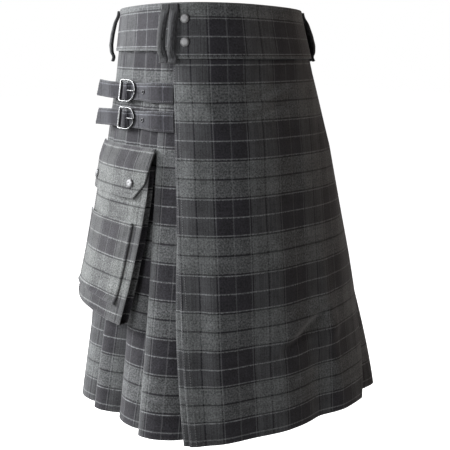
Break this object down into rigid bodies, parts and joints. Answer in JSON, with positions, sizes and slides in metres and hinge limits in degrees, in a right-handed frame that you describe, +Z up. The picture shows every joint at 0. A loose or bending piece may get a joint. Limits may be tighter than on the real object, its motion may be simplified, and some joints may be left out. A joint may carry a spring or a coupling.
{
  "type": "utility kilt",
  "caption": "Knee-length utility kilt in grey tartan with a flat front apron, knife pleats, belt loops, hip straps with buckles and cargo pockets.",
  "frame": {"origin": "middle of the wearer's waist, 32.5 mm below the top rim, where the waistband grips the body", "axes": "+Z up, -Y the wearer's front, +X the wearer's left"},
  "size_m": [0.4724, 0.41, 0.61],
  "materials": {
    "tartan_wool": "brushed wool twill in a grey and charcoal check",
    "tartan_trim": "the same wool, folded double and topstitched",
    "nickel": "antique nickel, softly worn"
  },
  "bodies": {
    "root": {"front_apron": "tartan_wool", "apron_edge_facing": "tartan_wool", "under_apron": "tartan_wool", "pleats_right_front": "tartan_wool", "pleats_right_middle": "tartan_wool", "pleats_right_back": "tartan_wool", "pleats_left_front": "tartan_wool", "pleats_left_middle": "tartan_wool", "pleats_left_back": "tartan_wool", "pocket_bag_right": "tartan_wool", "pocket_bag_left": "tartan_wool", "pocket_panel_right": "tartan_wool", "pocket_panel_left": "tartan_wool", "pocket_flap_right": "tartan_wool", "pocket_flap_left": "tartan_wool", "waistband": "tartan_trim", "belt_loop_right_front_outer": "tartan_trim", "belt_loop_right_front_inner": "tartan_trim", "belt_loop_left_front_inner": "tartan_trim", "belt_loop_left_front_outer": "tartan_trim", "belt_loop_right_back": "tartan_trim", "belt_loop_left_back": "tartan_trim", "belt_loop_centre_back": "tartan_trim", "strap_upper": "tartan_trim", "strap_lower": "tartan_trim", "buckle_tab_upper": "tartan_trim", "buckle_tab_lower": "tartan_trim", "waist_snap_upper": "nickel", "waist_snap_lower": "nickel", "pocket_snap_right_front": "nickel", "pocket_snap_right_back": "nickel", "pocket_snap_left_front": "nickel", "pocket_snap_left_back": "nickel", "buckle_upper": "nickel", "buckle_lower": "nickel", "buckle_prong_upper": "nickel", "buckle_prong_lower": "nickel", "strap_eyelet_upper": "nickel", "strap_eyelet_lower": "nickel"}
  },
  "joints": []
}
